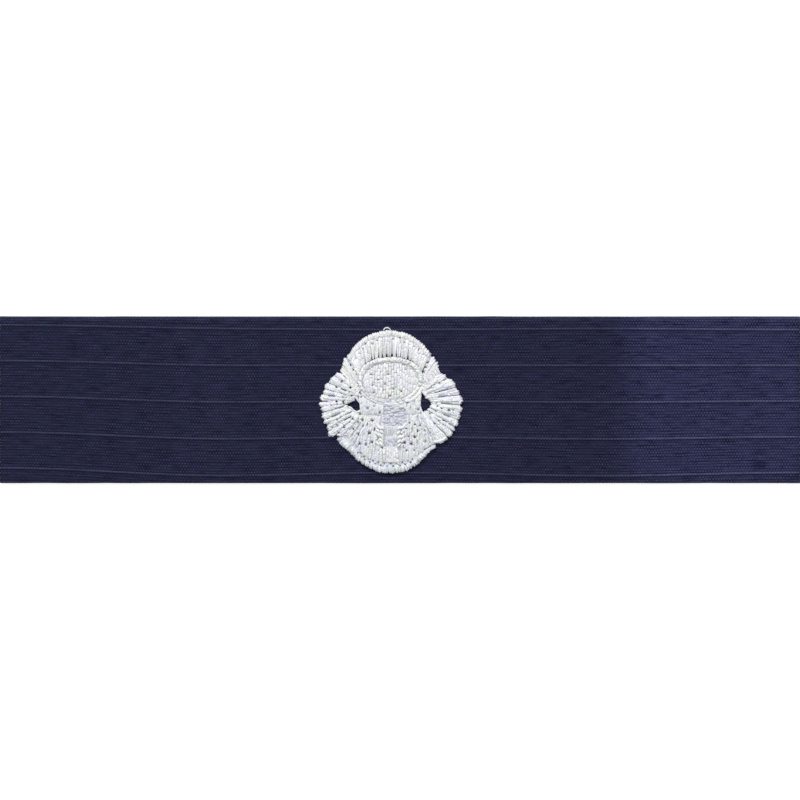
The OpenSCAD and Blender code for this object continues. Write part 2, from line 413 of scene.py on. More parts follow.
def needle_holes():
    """Holes as rows of one end x and y, other end x and y, half width."""
    rng = np.random.default_rng(HOLE_SEED)
    holes = []
    for rows, lobes in ((HOSE_LEFT, LOBES_LEFT), (HOSE_RIGHT, LOBES_RIGHT)):
        grooves = rows_at(rows, [lobe[0] for lobe in lobes[:-1]])
        for share in GROOVE_SHARES:
            places = share + rng.uniform(-GROOVE_STRAY, GROOVE_STRAY, len(grooves))
            holes.append(holes_on(rng, grooves, places, HOSE_SLITS))
    for rows in (HOOD_SIDE_LEFT, HOOD_SIDE_RIGHT):
        seam = rows_at(rows, np.full(len(SEAM_SHARES), SEAM_ROW))
        holes.append(holes_on(rng, seam, SEAM_SHARES, BODY_SLITS))
    bodies = ((JAW_LEFT, JAW_HOLES), (JAW_RIGHT, JAW_HOLES), (CHEEK_LEFT, CHEEK_HOLES),
              (CHEEK_RIGHT, CHEEK_HOLES))
    for rows, count in bodies:
        holes.append(holes_on(rng, field_lines(rows, even(count)), spread(count), BODY_SLITS))
    # Under the hood's border
    a = np.radians(mix(*HOOD_OUTER_ANGLES, even(HOOD_HOLES)))
    out = np.stack((np.cos(a), np.sin(a)), axis=1)
    near, far = (HOOD_CENTRE + (HOOD_R - depth) * out for depth in HOOD_HOLE_IN[::-1])
    holes.append(holes_on(rng, np.hstack((near, far)), rng.uniform(0.5, 1, HOOD_HOLES), 0))
    # In the mask, on upright threads
    a = 2 * np.pi * spread(MASK_HOLES)
    away = MASK_HOLE_REACH * np.sqrt(even(MASK_HOLES))
    places = MASK_CENTRE + MASK_HALF * (away * (np.cos(a), np.sin(a))).T
    holes.append(holes_on(rng, np.hstack((places, places + (0, 1))), np.zeros(MASK_HOLES), 0))
    return np.vstack((*holes, chin_holes()))


def chin_holes():
    """Needle holes in a row along the rim's inner side."""
    lines = field_lines(CHIN_RIM, np.linspace(*CHIN_HOLE_ENDS, CHIN_HOLES))
    lift = np.where(np.arange(CHIN_HOLES) % 2, *CHIN_HOLE_LIFT)[:, None]
    places = mix(lines[:, :2], lines[:, 2:], lift)
    return np.hstack((places, places, np.full((CHIN_HOLES, 1), CHIN_HOLE_W)))


def off_hole(points, hole):
    """Steps from the nearest point of a hole's middle line to each point."""
    a, b = np.array(hole[:2]), np.array(hole[2:4])
    run = b - a
    share = np.clip((points - a) @ run / (run @ run + 1e-9), 0, 1)
    return points - (a + share[..., None] * run)


def is_slit(hole):
    return np.hypot(hole[2] - hole[0], hole[3] - hole[1]) > SLIT_LENGTH


HOLES = needle_holes()


def parted(plan, width, scale):
    """The threads' plan, moved aside where a slit shows between them."""
    plan = plan.copy()
    for hole in filter(is_slit, HOLES):
        gap = scale * hole[4] + width / 2
        reach = gap + SPREAD
        off = off_hole(plan, hole)
        near = (np.linalg.norm(off, axis=2) < reach).any(axis=1)
        if not near.any():
            continue
        off = off[near]
        run = unit(np.gradient(plan[near], axis=1))
        side = np.stack((-run[..., 1], run[..., 0]), axis=-1)
        aside, ahead = (off * side).sum(-1), np.abs((off * run).sum(-1))
        closest = np.linalg.norm(off, axis=2).argmin(axis=1)
        sign = np.where(np.take_along_axis(aside, closest[:, None], 1) < 0, -1, 1)
        pushed = sign * (gap + SPREAD * np.abs(aside) / reach)
        weight = smooth(1.5 * (1 - ahead / reach)) * (np.abs(aside) < reach)
        plan[near] += side * ((pushed - aside) * weight)[..., None]
    return plan


def sunken(plan, scale):
    """How far each point lies in a needle hole, from 0 outside to 1 at its bottom."""
    depth = np.zeros(plan.shape[:2])
    for hole in HOLES:
        full = SLIT_DEPTH if is_slit(hole) else 1.0
        away = np.linalg.norm(off_hole(plan, hole), axis=2)
        depth = np.maximum(depth, full * smooth((scale * hole[4] + HOLE_EDGE - away) / HOLE_EDGE))
    return depth


class Field:
    """Threads and padding of one field, gathered into one mesh."""

    runs = []

    def __init__(self, seed, hole_scale=HOLE_SCALE):
        self.rng = np.random.default_rng(seed)
        self.hole_scale = hole_scale
        self.points, self.faces, self.uvs, self.tints = [], [], [], []
        self.count = 0

    def add(self, points, faces, uv, tint):
        self.points.append(points)
        self.faces.extend((np.asarray(faces) + self.count).tolist())
        self.uvs.append(uv)
        self.tints.append(np.broadcast_to(tint, (len(points), 4)))
        self.count += len(points)

    def tubes(self, paths, width, height, tint):
        """One closed tube along each path. paths is threads by rings by xyz."""
        threads, rings, _ = paths.shape
        run = unit(np.gradient(paths, axis=1))
        plan = unit(run * (1, 1, 0))
        side = np.stack((plan[..., 1], -plan[..., 0], 0 * plan[..., 0]), axis=2)
        up = np.cross(side, run)
        turn = np.linspace(0, 2 * np.pi, SIDES, endpoint=False)
        width, height = (np.broadcast_to(v, (threads, rings))[:, :, None, None] for v in (width, height))
        points = (paths[:, :, None]
                  + side[:, :, None] * np.cos(turn)[:, None] * width / 2
                  + up[:, :, None] * np.sin(turn)[:, None] * height / 2).reshape(-1, 3)
        t, i, j = np.meshgrid(np.arange(threads), np.arange(rings - 1), np.arange(SIDES), indexing="ij")
        near = (t * rings + i) * SIDES
        far, after = near + SIDES, (j + 1) % SIDES
        quads = np.stack((near + j, near + after, far + after, far + j), axis=-1).reshape(-1, 4)
        step = np.linalg.norm(np.diff(paths, axis=1), axis=2)
        at = np.concatenate((np.zeros((threads, 1)), np.cumsum(step, axis=1)), axis=1)
        at = at + self.rng.uniform(0, 50, (threads, 1))
        u0, u1, v0, v1 = at[t, i], at[t, i + 1], j / SIDES, (j + 1) / SIDES
        uv = np.stack((u0, v0, u0, v1, u1, v1, u1, v0), axis=-1).reshape(-1, 2)
        ring = np.arange(SIDES)
        first = np.arange(threads)[:, None] * rings * SIDES
        caps = np.concatenate((first + ring[::-1], first + (rings - 1) * SIDES + ring))
        tints = np.repeat(np.broadcast_to(tint, (threads, rings, 4)).reshape(-1, 4), SIDES, axis=0)
        self.add(points, quads, uv, tints)
        self.faces.extend((caps + self.count - len(points)).tolist())
        self.uvs.append(np.zeros((caps.size, 2)))

    def lay(self, plan, level, tint=WHITE, width=THREAD_W, dips=(SUNK, SUNK), shake=0.05, tone=0.05):
        """Threads over plan, with their tops at level above the cloth and their ends at dips."""
        rng, threads, rings = self.rng, len(plan), plan.shape[1]
        arch = np.sin(np.pi * np.linspace(0, 1, rings))
        slip = rng.normal(0, shake, (2, threads, 1, 2))
        plan = plan + mix(slip[0], slip[1], np.linspace(0, 1, rings)[:, None])
        run = unit(plan[:, -1] - plan[:, 0])
        bow = rng.normal(0, shake, threads)
        plan = plan + np.stack((-run[:, 1], run[:, 0]), 1)[:, None] * (bow[:, None] * arch)[..., None]
        plan = parted(plan, np.max(width), self.hole_scale)
        Field.runs.append(np.concatenate((plan[:, 0], plan[:, -1]), axis=1))
        step = np.linalg.norm(np.diff(plan, axis=1), axis=2)
        at = np.concatenate((np.zeros((threads, 1)), np.cumsum(step, axis=1)), axis=1)
        level = level + rng.normal(0, shake * 0.9, (threads, 1)) + 0.05 * arch ** 0.5
        level = mix(dips[0], level, smooth(at / LEG))
        level = mix(dips[1], level, smooth((at[:, -1:] - at) / LEG))
        depth = sunken(plan, self.hole_scale)
        level = mix(level, np.minimum(level, HOLE_FLOOR), depth)
        z = FACE_Z + level - THREAD_H / 2
        swell = (0.72 + 0.28 * arch ** 0.4) * rng.normal(1, 0.08, (threads, 1))
        shade = np.clip(tint * (1 + rng.normal(0, tone, (threads, 1, 1))), 0, TINT_LIMIT)
        # Painted shade: threads are darkened where they sink into a needle hole
        shade = shade * (1 - HOLE_PAINTED_SHADE * depth[..., None])
        self.tubes(np.concatenate((plan + DEVICE, z[..., None]), axis=2), width * swell, THREAD_H, shade)

    # Padding takes the painted shade tint unless another tint is given
    def pad(self, lines, level, inset=(0.0, 0.0), tint=PAD_PAINTED_SHADE):
        """Padding over lines, which level shapes by the share along each of them."""
        across = max(5, int(lengths(lines).max() / PAD_CELL))
        cut = np.minimum(np.array(inset)[:, None] / lengths(lines), 0.3)
        share = mix(cut[0][:, None], 1 - cut[1][:, None], np.linspace(0, 1, across))
        plan = lines[:, None, :2] + (lines[:, None, 2:] - lines[:, None, :2]) * share[..., None]
        top = level(share) - PAD_DROP
        depth = sunken(plan, self.hole_scale)
        top = mix(top, np.minimum(top, 0), depth)
        for end, gap in zip((0, -1), inset):
            if gap > 0:
                top[:, end] = PAD_FOOT / 2
        upper = np.concatenate((plan + DEVICE, FACE_Z + top[..., None]), axis=2).reshape(-1, 3)
        lower = upper.copy()
        lower[:, 2] = FACE_Z + PAD_FOOT
        n, m = len(lines), across
        cell = (np.arange(n - 1)[:, None] * m + np.arange(m - 1)).ravel()
        quads = np.stack((cell, cell + m, cell + m + 1, cell + 1), axis=1)
        rim = np.concatenate((np.arange(0, n * m, m), np.arange((n - 1) * m + 1, n * m),
                              np.arange(n * m - 1 - m, 0, -m), np.arange(m - 2, 0, -1)))
        after = np.roll(rim, -1)
        skirt = np.stack((rim, after, after + n * m, rim + n * m), axis=1)
        faces = np.concatenate((quads, quads[:, ::-1] + n * m, skirt))
        points = np.concatenate((upper, lower))
        self.add(points, faces, points[faces.ravel()][:, :2], tint)

    def piece(self, name, slot, *nodes):
        """The gathered mesh as a piece that stands for the named nodes."""
        made = mesh_piece(name, np.concatenate(self.points), self.faces, np.concatenate(self.uvs), THREAD)
        colours = made.data.color_attributes.new("tint", "FLOAT_COLOR", "POINT")
        colours.data.foreach_set("color", np.concatenate(self.tints).astype(np.float32).ravel())
        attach(made, "root")
        if nodes:
            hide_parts(*nodes)
        return made


def mesh_piece(name, points, faces, uv, material):
    mesh = bpy.data.meshes.new(name)
    mesh.from_pydata((points * MM).tolist(), [], faces)
    layer = mesh.uv_layers.new(name="UVMap")
    layer.data.foreach_set("uv", np.asarray(uv, np.float32).ravel())
    work = bmesh.new()
    work.from_mesh(mesh)
    bmesh.ops.recalc_face_normals(work, faces=work.faces)
    work.to_mesh(mesh)
    work.free()
    mesh.shade_smooth()
    mesh.materials.append(material)
    piece = bpy.data.objects.new(name, mesh)
    bpy.context.collection.objects.link(piece)
    return piece


# Materials

class Nodes:
    """Short form for building a material's node tree."""

    def __init__(self, name):
        self.material = bpy.data.materials.new(name)
        self.material.use_nodes = True
        self.tree = self.material.node_tree
        self.tree.nodes.clear()
        self.out = self.add("ShaderNodeOutputMaterial")
        self.shader = self.add("ShaderNodeBsdfPrincipled")
        self.link(self.shader.outputs[0], self.out.inputs["Surface"])

    def add(self, kind, **settings):
        node = self.tree.nodes.new(kind)
        for key, value in settings.items():
            setattr(node, key, value)
        return node

    def link(self, source, target):
        self.tree.links.new(source, target)

    def feed(self, value, socket):
        if isinstance(value, bpy.types.NodeSocket):
            self.link(value, socket)
        else:
            socket.default_value = value

    def math(self, operation, *values):
        node = self.add("ShaderNodeMath", operation=operation)
        for value, socket in zip(values, node.inputs):
            self.feed(value, socket)
        return node.outputs[0]

    def product(self, *values):
        total = values[0]
        for value in values[1:]:
            total = self.math("MULTIPLY", total, value)
        return total

    def ramp(self, value, low, high, start=0.0, end=1.0):
        """value from low..high to start..end, clamped and eased."""
        node = self.add("ShaderNodeMapRange", interpolation_type="SMOOTHSTEP")
        for item, socket in zip((value, low, high, start, end), node.inputs):
            self.feed(item, socket)
        return node.outputs[0]

    def noise(self, vector, scale, detail=2.0, roughness=0.5):
        node = self.add("ShaderNodeTexNoise")
        self.feed(vector, node.inputs["Vector"])
        node.inputs["Scale"].default_value = scale
        node.inputs["Detail"].default_value = detail
        node.inputs["Roughness"].default_value = roughness
        return node.outputs["Fac"]

    def grey(self, value):
        node = self.add("ShaderNodeCombineColor")
        for socket in node.inputs:
            self.feed(value, socket)
        return node.outputs[0]

    def colour_mix(self, share, a, b, blend="MIX"):
        node = self.add("ShaderNodeMix", data_type="RGBA", blend_type=blend)
        self.feed(share, node.inputs[0])
        self.feed(a, node.inputs[6])
        self.feed(b, node.inputs[7])
        return node.outputs[2]

    def bump(self, height, distance, strength=1.0):
        node = self.add("ShaderNodeBump")
        node.inputs["Strength"].default_value = strength
        node.inputs["Distance"].default_value = distance
        self.link(height, node.inputs["Height"])
        self.link(node.outputs[0], self.shader.inputs["Normal"])


def thread_material():
    """White embroidery thread: two plies twisted together, with a soft sheen."""
    n = Nodes("white_thread")
    uv = n.add("ShaderNodeUVMap", uv_map="UVMap").outputs[0]
    parts = n.add("ShaderNodeSeparateXYZ")
    n.link(uv, parts.inputs[0])
    place = n.add("ShaderNodeTexCoord").outputs["Object"]
    streaks = n.noise(uv, 1.3, 2.0)
    turns = n.math("ADD", n.math("DIVIDE", parts.outputs[0], TWIST), n.product(parts.outputs[1], 2.0))
    turns = n.math("ADD", turns, n.product(streaks, 3.0))
    twist = n.math("SINE", n.product(2 * math.pi, turns))
    fibres = n.noise(uv, 9.0, 3.0)
    clouds = n.noise(place, 420.0, 1.0)
    tint, grain = n.add("ShaderNodeVertexColor", layer_name="tint").outputs
    # Painted shade in the grooves between the twisted plies, as strong as the tint's twist share
    ply_groove_shade = n.product(n.ramp(twist, -1.0, 0.3, 0.17, 0.0), grain)
    tone = n.product(n.ramp(streaks, 0.3, 0.7, 0.91, 1.0), n.math("SUBTRACT", 1.0, ply_groove_shade))
    colour = n.colour_mix(n.ramp(clouds, 0.35, 0.65), (0.905, 0.935, 0.915, 1), (0.905, 0.905, 0.965, 1))
    colour = n.colour_mix(1.0, colour, tint, "MULTIPLY")
    colour = n.colour_mix(1.0, colour, n.grey(tone), "MULTIPLY")
    n.link(colour, n.shader.inputs["Base Color"])
    n.link(n.ramp(fibres, 0.3, 0.7, 0.42, 0.6), n.shader.inputs["Roughness"])
    n.shader.inputs["Specular IOR Level"].default_value = 0.4
    n.shader.inputs["Sheen Weight"].default_value = 0.15
    n.shader.inputs["Sheen Roughness"].default_value = 0.4
    n.bump(n.math("ADD", n.product(twist, grain), n.product(fibres, 0.6)), 0.035 * MM, 0.8)
    return n.material


def cloth_material():
    """Navy ripstop: plain weave, lighter doubled threads, and painted light that makes the right-hand end paler.
    """
    n = Nodes("navy_ripstop")
    uv = n.add("ShaderNodeUVMap", uv_map="UVMap").outputs[0]
    parts = n.add("ShaderNodeSeparateXYZ")
    n.link(uv, parts.inputs[0])
    x, pick = parts.outputs[0], parts.outputs[1]
    # Interlacing: each pick floats over every second warp, and the next pick over the others
    phase = n.math("ADD", n.math("DIVIDE", x, CHECK_PITCH), n.product(n.math("ROUND", pick), 0.5))
    floats = n.math("SINE", n.product(2 * math.pi, phase))
    ribs = n.math("COSINE", n.product(2 * math.pi, pick))
    # Ripstop threads stand out lighter, with a line of painted shade under each
    cell = n.math("DIVIDE", pick, float(PICKS))
    off_line = n.product(n.math("SUBTRACT", cell, n.math("ROUND", cell)), float(PICKS))
    line = n.ramp(n.math("ABSOLUTE", off_line), 0.42, 0.18)
    under = n.product(n.ramp(off_line, 0.3, 0.6), n.ramp(off_line, 1.2, 0.8))
    flat = n.add("ShaderNodeCombineXYZ")
    n.link(n.product(x, 0.3), flat.inputs[0])
    n.link(pick, flat.inputs[1])
    streak = n.noise(flat.outputs[0], 1.0, 3.0, 0.6)
    speck = n.noise(uv, 2.2, 3.0, 0.65)
    patch = n.noise(uv, 0.24, 2.0)
    cloud = n.noise(uv, 0.12, 2.0)
    run = n.add("ShaderNodeCombineXYZ")
    n.link(n.product(x, 0.12), run.inputs[0])
    n.link(n.math("ROUND", n.math("DIVIDE", pick, float(PICKS))), run.inputs[1])
    line = n.product(line, n.ramp(speck, 0.25, 0.65, 0.35, 1.0), n.ramp(floats, -1.0, 0.6, 0.5, 1.0),
                     n.ramp(n.noise(run.outputs[0], 1.0, 4.0, 0.7), 0.35, 0.6, 0.55, 1.15))
    # Broad painted light along the strip: the right-hand end and a band on the left are painted paler, though
    # the strip lies flat
    painted_light_end = n.ramp(x, 38.0, 49.0)
    painted_light_left = n.product(n.ramp(x, -46.0, -38.0), n.ramp(x, -26.0, -34.0))
    broad_painted_light = n.math("ADD", n.math("ADD", 1.0, n.product(painted_light_end, 0.66)), n.product(painted_light_left, 0.10))
    check = n.product(floats, n.ramp(patch, 0.38, 0.60, 0.16, 0.74), n.ramp(x, -60.0, -50.0, 0.6, 1.0))
    # The rib term is painted shade: darker in the valleys between picks, lighter on their crowns
    tone = n.product(n.math("ADD", 1.0, check), n.ramp(cloud, 0.3, 0.7, 0.94, 1.06),
                     n.ramp(streak, 0.25, 0.75, 0.44, 1.50), n.ramp(speck, 0.3, 0.7, 0.52, 1.44),
                     n.ramp(ribs, -1.0, 0.6, 0.40, 1.17))
    # The weave shows more plainly in some places than in others
    plain = n.ramp(n.noise(uv, 0.3, 1.0), 0.35, 0.65, 0.7, 1.2)
    tone = n.math("ADD", 1.0, n.product(n.math("SUBTRACT", tone, 1.0), plain))
    # The under term darkens the painted shade line below each ripstop thread
    tone = n.product(tone, broad_painted_light, n.math("SUBTRACT", 1.0, n.product(under, 0.6)))
    # Threads are greyer where they catch the light, and navy between
    hue = n.noise(uv, 0.45, 1.0)
    light = n.colour_mix(n.ramp(hue, 0.36, 0.64), (0.040, 0.040, 0.100, 1), (0.036, 0.044, 0.083, 1))
    # Painted light: the right-hand end's colours are paler and more violet
    light = n.colour_mix(painted_light_end, light, (0.043, 0.046, 0.118, 1))
    colour = n.colour_mix(n.math("DIVIDE", tone, 3.0), (0.0013, 0.0013, 0.0155, 1), light)
    bright = n.colour_mix(painted_light_end, (0.045, 0.048, 0.096, 1), (0.080, 0.085, 0.165, 1))
    colour = n.colour_mix(line, colour, bright)
    n.link(colour, n.shader.inputs["Base Color"])
    n.shader.inputs["Roughness"].default_value = 0.85
    n.shader.inputs["Specular IOR Level"].default_value = 0.12
    n.shader.inputs["Sheen Weight"].default_value = 0.05
    n.shader.inputs["Sheen Roughness"].default_value = 0.5
    n.bump(n.math("ADD", n.product(floats, 0.5), n.product(speck, 1.5)), 0.03 * MM, 0.7)
    return n.material


def floor_material():
    n = Nodes("pale_floor")
    coords = n.add("ShaderNodeTexCoord").outputs["Object"]
    uneven = n.ramp(n.noise(coords, 40.0), 0.2, 0.8)
    colour = n.colour_mix(uneven, (0.93, 0.93, 0.93, 1), (0.95, 0.95, 0.95, 1))
    n.link(colour, n.shader.inputs["Base Color"])
    n.shader.inputs["Roughness"].default_value = 0.9
    n.shader.inputs["Specular IOR Level"].default_value = 0.1
    n.shader.inputs["Emission Color"].default_value = (1, 1, 1, 1)
    n.shader.inputs["Emission Strength"].default_value = 0.55
    return n.material


THREAD = thread_material()
CLOTH = cloth_material()


# The strip

def ripstop_shape(x):
    """Height of the topmost ripstop thread and the spacing below it, at each x."""
    lift = RIPSTOP_LIFT * smooth((RIPSTOP_LIFT_FROM - x) / (HALF_LENGTH + RIPSTOP_LIFT_FROM))
    wave = RIPSTOP_WAVE * np.cos(2 * np.pi * (x - RIPSTOP_WAVE_AT) / RIPSTOP_WAVE_LONG)
    return RIPSTOP_TOP + lift + wave, RIPSTOP_STEP + wave


def fold_path(p, inward=0.0):
    """Place across the strip and height of the cloth p along it from the middle of the face."""
    flat = HALF_WIDTH - FOLD_R
    arc = np.pi * FOLD_R
    side, p = np.sign(p), np.abs(p)
    turn = np.clip((p - flat) / FOLD_R, 0, np.pi)
    radius = FOLD_R - inward
    y = side * (np.minimum(p, flat) - np.maximum(p - flat - arc, 0) + radius * np.sin(turn))
    return y, FOLD_R + radius * np.cos(turn)


def cloth_strip():
    """One sheet, woven along its threads, with both long edges turned under."""
    rng = np.random.default_rng(11)
    half_run = HALF_WIDTH - FOLD_R + np.pi * FOLD_R + HEM_W - FOLD_R
    pick = RIPSTOP_STEP / PICKS
    first, last = (RIPSTOP_TOP - half_run) / pick, (RIPSTOP_TOP + half_run) / pick
    picks = np.arange(round(first * ROWS_PER_PICK), round(last * ROWS_PER_PICK) + 1) / ROWS_PER_PICK
    x = np.linspace(-HALF_LENGTH, HALF_LENGTH, STATIONS)
    top, spacing = ripstop_shape(x)
    p = top - picks[:, None] / PICKS * spacing
    # Each thread swells and thins along its length
    coarse = np.linspace(-HALF_LENGTH, HALF_LENGTH, 40)
    whole = np.round(picks).astype(int)
    swell = {w: np.interp(x, coarse, rng.normal(1, 0.25, coarse.size)) for w in np.unique(whole)}
    rise = PICK_RISE * np.cos(2 * np.pi * picks)[:, None] * np.array([swell[w] for w in whole])
    rise += RIPSTOP_RISE * np.clip(1 - 2 * np.abs(picks - np.round(picks / PICKS) * PICKS), 0, 1)[:, None]
    rise = np.maximum(rise, -PICK_RISE)
    y_out, z_out = fold_path(p, -rise)
    y_in, z_in = fold_path(p, CLOTH_T)
    xx = np.broadcast_to(x, p.shape)
    outer = np.stack((xx, y_out, np.maximum(z_out, 0)), axis=2).reshape(-1, 3)
    inner = np.stack((xx, y_in, z_in), axis=2).reshape(-1, 3)
    rows, cols = p.shape
    under = rows * cols
    cell = (np.arange(rows - 1)[:, None] * cols + np.arange(cols - 1)).ravel()
    face = np.stack((cell, cell + cols, cell + cols + 1, cell + 1), axis=1)
    rim = np.concatenate((np.arange(0, under, cols), np.arange((rows - 1) * cols + 1, under),
                          np.arange(under - 1 - cols, 0, -cols), np.arange(cols - 2, 0, -1)))
    after = np.roll(rim, -1)
    edge = np.stack((rim, after, after + under, rim + under), axis=1)
    faces = np.concatenate((face, face[:, ::-1] + under, edge))
    weave = np.stack((xx, np.broadcast_to(picks[:, None], p.shape)), axis=2).reshape(-1, 2)
    strip = mesh_piece("ripstop_strip", np.concatenate((outer, inner)), faces.tolist(),
                       weave[faces.ravel() % under], CLOTH)
    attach(strip, "root")
    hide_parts("cloth_strip")


# The device

def hood_lines(inner, outer, outer_r=HOOD_R):
    """Lines between the shares inner and outer of the hood's two arcs."""
    outer = np.radians(mix(HOOD_OUTER_ANGLES[0], HOOD_OUTER_ANGLES[1], outer))
    outer_r = (outer_r - HOOD_FLATTENED * np.cos(outer) ** 2)[:, None]
    inner = mix(HOOD_INNER_ANGLES[0], HOOD_INNER_ANGLES[1], inner)
    starts = mask_points(MASK_HALF + FIELD_GAP, inner)
    ends = HOOD_CENTRE + outer_r * np.stack((np.cos(outer), np.sin(outer)), axis=1)
    return np.hstack((starts, ends))


def near_middle(share):
    """1 over the middle of the mask's top, and 0 at the hood's sides."""
    return smooth(3 - 8 * np.abs(share - HOOD_BARE_AT))


def hood_band():
    f = Field(21, 0.5)
    # The padding stays back from the mask where the pairs of threads part over the cloth
    ends = np.linspace(-0.01, 1.02, 130)
    lines = hood_lines(ends, ends)
    bare = HOOD_BARE * near_middle(ends) / lengths(lines)
    lines[:, :2] += bare[:, None] * (lines[:, 2:] - lines[:, :2])
    f.pad(lines, lambda share: relief(share, 0.5, 0.5), (-0.05, 0.25))
    ends = even(HOOD_THREADS)
    lines = hood_lines(ends, ends)
    # Two by two the threads draw together where they leave the mask
    pull = np.repeat(f.rng.uniform(0.03, 0.1, HOOD_THREADS // 2), 2)
    pull *= np.where(np.arange(HOOD_THREADS) % 2, -1, 1)
    across = unit(np.gradient(lines[:, :2], axis=0)) * (pull * near_middle(ends))[:, None]
    middle = 0.5 + f.rng.uniform(-0.22, 0.22, HOOD_THREADS)
    border = 1 - HOOD_BORDER_W / lengths(lines)
    for start, end, dips in ((0.0, middle, (SUNK, 0.72)), (middle - 0.05, border, (0.72, 0.68))):
        plan, share = along(lines, start, end)
        plan = plan + (1 - 0.6 * smooth(2 * share))[..., None] * across[:, None]
        f.lay(plan, relief(share, 0.5, 0.5), STREAKED, mix(0.36, 0.5, smooth(2 * share)), dips, 0.055, 0.1)
    lines = hood_lines(ends, ends, HOOD_R - 0.06)
    plan, share = along(lines, 1 - (HOOD_BORDER_W + 0.1) / lengths(lines), 1.0)
    level = relief(np.linspace(0, 1, plan.shape[1]), 0.66, 0.34)
    f.lay(plan, level, dips=(0.74, SUNK))
    return f.piece("hood_stitches", "white_thread", "hood_band")


def hood_side_left():
    f = Field(31)
    lines = field_lines(HOOD_SIDE_LEFT, np.linspace(-0.1, 1, 20))
    f.pad(lines, lambda share: relief(share, 0.5, 0.3), (-0.1, 0.25))
    plan, share = along(field_lines(HOOD_SIDE_LEFT, even(7) * 1.05 - 0.05), -0.03, 1.0)
    f.lay(plan, relief(share, 0.5, 0.3), dips=(0.3, SUNK))
    return f.piece("hood_side_left_stitches", "white_thread", "hood_side_left")


def hood_side_right():
    f = Field(32)
    lines = field_lines(HOOD_SIDE_RIGHT, np.linspace(-0.1, 1.1, 20))
    f.pad(lines, lambda share: relief(share, 0.5, 0.3), (-0.1, 0.25))
    plan, share = along(field_lines(HOOD_SIDE_RIGHT, even(7) * 1.2 - 0.12), -0.03, 1.0)
    f.lay(plan, relief(share, 0.5, 0.3), dips=(0.3, SUNK))
    # Short stitches across the seam to the hose
    x = np.linspace(6.9, 9.0, 6)
    lines = np.stack((x - 0.5, 4.15 + 0.9 * (x - 6.9) + 0.7, x + 0.35, 4.15 + 0.9 * (x - 6.9) - 0.9), axis=1)
    plan, share = along(lines)
    f.lay(plan, relief(share, 0.6, 0.35), dips=(0.4, 0.4))
    return f.piece("hood_side_right_stitches", "white_thread", "hood_side_right")


def mask_rim():
    """Rows of stitches that follow the rim round, with slanted ones over its upper part."""
    f = Field(41)
    turn = np.linspace(-90, 270, 150)
    inner, outer = mask_points(MASK_HALF - MASK_RIM_W, turn), mask_points(MASK_HALF, turn)
    high = 0.26 + 0.12 * np.sin(np.radians(turn))[:, None]
    f.pad(np.hstack((inner, outer)), lambda share: 0.5 + high * relief(share, 0, 1), (-0.1, -0.1))
    for offset, tint, stitch, first, last, lift in RIM_ROWS:
        curve = mask_points(MASK_HALF - offset, np.linspace(first, last, 1200))
        at = np.concatenate(([0], np.cumsum(np.linalg.norm(np.diff(curve, axis=0), axis=1))))
        count = max(1, round(at[-1] / stitch))
        marks = (np.arange(count + 1) + f.rng.uniform(-0.2, 0.2, count + 1)) / count * at[-1]
        marks[0], marks[-1] = 0, at[-1]
        here = mix(marks[:-1, None], marks[1:, None], ring_shares(6 + int(stitch / RING_STEP)))
        plan = np.stack((np.interp(here, at, curve[:, 0]), np.interp(here, at, curve[:, 1])), axis=2)
        angle = np.arctan2(plan[..., 1] - MASK_CENTRE[1], plan[..., 0] - MASK_CENTRE[0])
        level = lift + 0.5 + (0.26 + 0.12 * np.sin(angle)) * relief(offset / MASK_RIM_W, 0, 1)
        f.lay(plan, level, tint, dips=(0.45, 0.45), shake=0.04)
    ends = [mask_points(MASK_HALF - inset, np.linspace(-8 + lean, 196 + lean, 40)) for inset, lean in RIM_STITCH]
    plan, share = along(np.hstack(ends))
    f.lay(plan, relief(share, 0.68, 0.24), PAINTED_HIGHLIGHT_WHITE, 0.46, (0.55, 0.4), 0.06, 0.1)
    return f.piece("mask_rim_stitches", "white_thread", "mask_rim")


def mask_lens():
    """Short upright stitches in staggered rows, over a low dome."""
    f = Field(42, 0.7)
    half = MASK_HALF - MASK_RIM_W
    angles = np.linspace(172, 8, 60)
    lines = np.hstack((mask_points(half, -angles), mask_points(half, angles)))
    f.pad(lines, lambda share: 0.55 + 0.3 * np.sqrt(np.clip(4 * share * (1 - share), 0, 1)))
    lines = []
    for k, x in enumerate(np.arange(-half[0] + 0.25, half[0] - 0.2, PITCH)):
        reach = half[1] * (1 - abs(x / half[0]) ** MASK_SQUARE) ** (1 / MASK_SQUARE)
        for low in np.arange(-reach - (k * 0.57) % LENS_STITCH, reach, LENS_STITCH):
            a, b = max(low, -reach), min(low + LENS_STITCH + 0.05, reach)
            if b - a > LENS_LEAST:
                # Rows bow with the rim
                bow = [1 - 0.22 * abs(x / half[0]) * (y / half[1]) ** 2 for y in (a, b)]
                lines.append((x * bow[0], a, x * bow[1], b))
    plan, _ = along(np.array(lines))
    away = np.linalg.norm(plan / half, axis=2)
    level = 0.6 + 0.3 * np.sqrt(np.clip(1 - away ** 2, 0, 1))
    f.lay(plan + MASK_CENTRE, level, SOFT, dips=(0.55, 0.55), shake=0.035, tone=0.04)
    return f.piece("mask_lens_stitches", "white_thread", "mask_lens")


